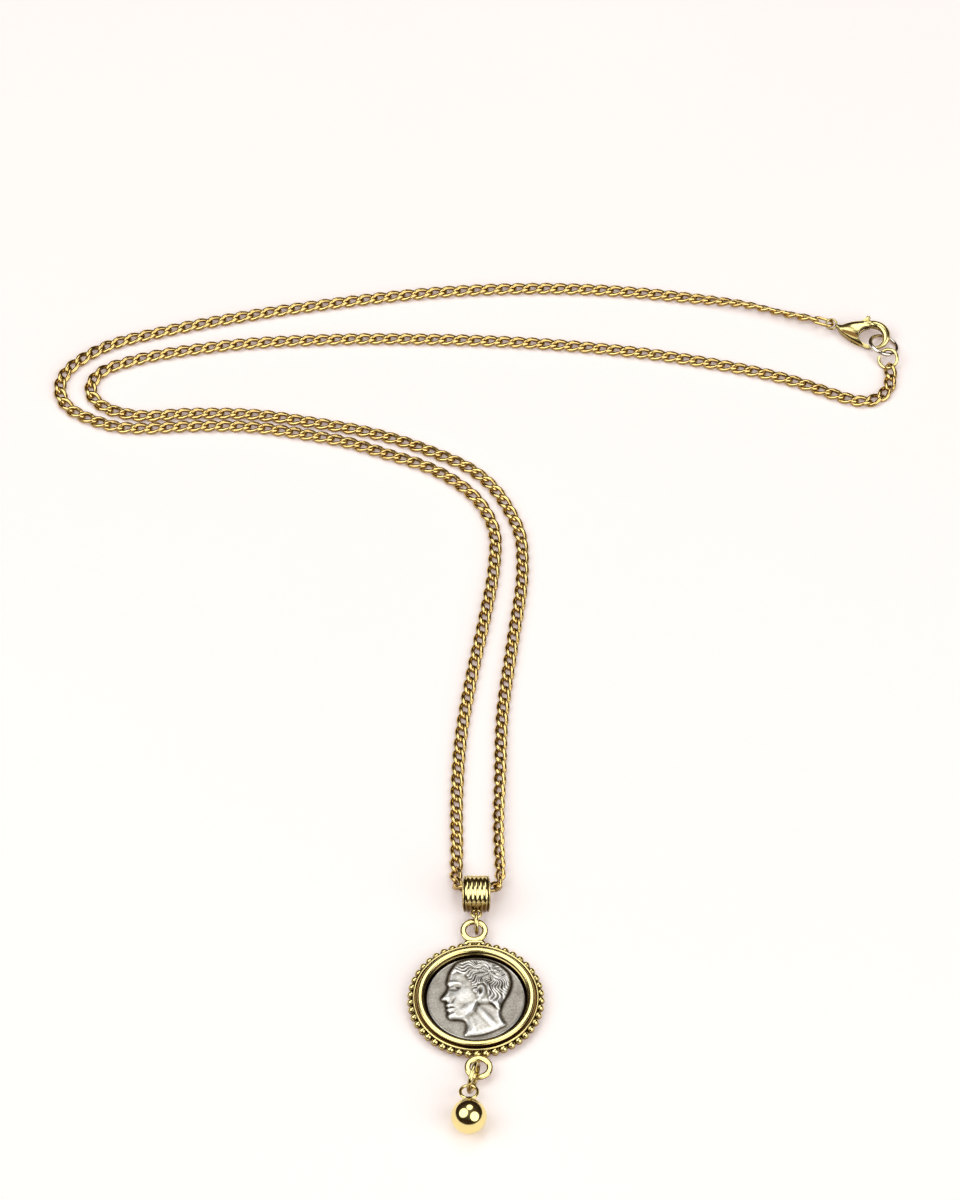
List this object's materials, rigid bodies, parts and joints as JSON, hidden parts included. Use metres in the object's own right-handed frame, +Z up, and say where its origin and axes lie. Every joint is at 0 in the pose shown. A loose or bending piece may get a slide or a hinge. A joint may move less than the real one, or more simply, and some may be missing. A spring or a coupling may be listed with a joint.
{
  "type": "coin pendant necklace",
  "caption": "Necklace lying flat: a curb chain with a lobster clasp carries a ribbed bail, a beaded round medallion set with a silver coin, and a ball drop.",
  "frame": {"origin": "centre of the medallion's flat back, on the surface that the necklace lies on", "axes": "+Z up, away from the surface; +Y from the medallion towards the bail, the chain and the clasp; +X to the right as seen from above"},
  "size_m": [0.1689, 0.2033, 0.0071],
  "materials": {
    "gold": "polished pale yellow gold plating",
    "rose_gold": "polished, slightly pinkish gold plating",
    "silver": "worn and antiqued silver, dark in its recesses",
    "steel": "plain polished steel, a little warm"
  },
  "bodies": {
    "necklace": {"chain_left": "rose_gold", "chain_right": "rose_gold", "bail": "gold", "bail_ring": "gold", "medallion": "gold", "coin": "silver", "drop_ring": "gold", "ball_drop": "gold", "clasp_body": "gold", "clasp_link": "rose_gold", "catch_ring": "steel", "end_ring": "gold"},
    "clasp_lever": {"clasp_lever": "gold"}
  },
  "joints": [
    {"name": "clasp_lever_hinge", "type": "hinge", "parent": "necklace", "child": "clasp_lever", "pos_m": [0.07579, 0.15865, 0.00118], "axis": [-0.0748, -0.2998, 0.9511], "range_deg": [0, 8], "stiffness_Nm_per_rad": 0.0015, "springref_deg": -17.19}
  ]
}
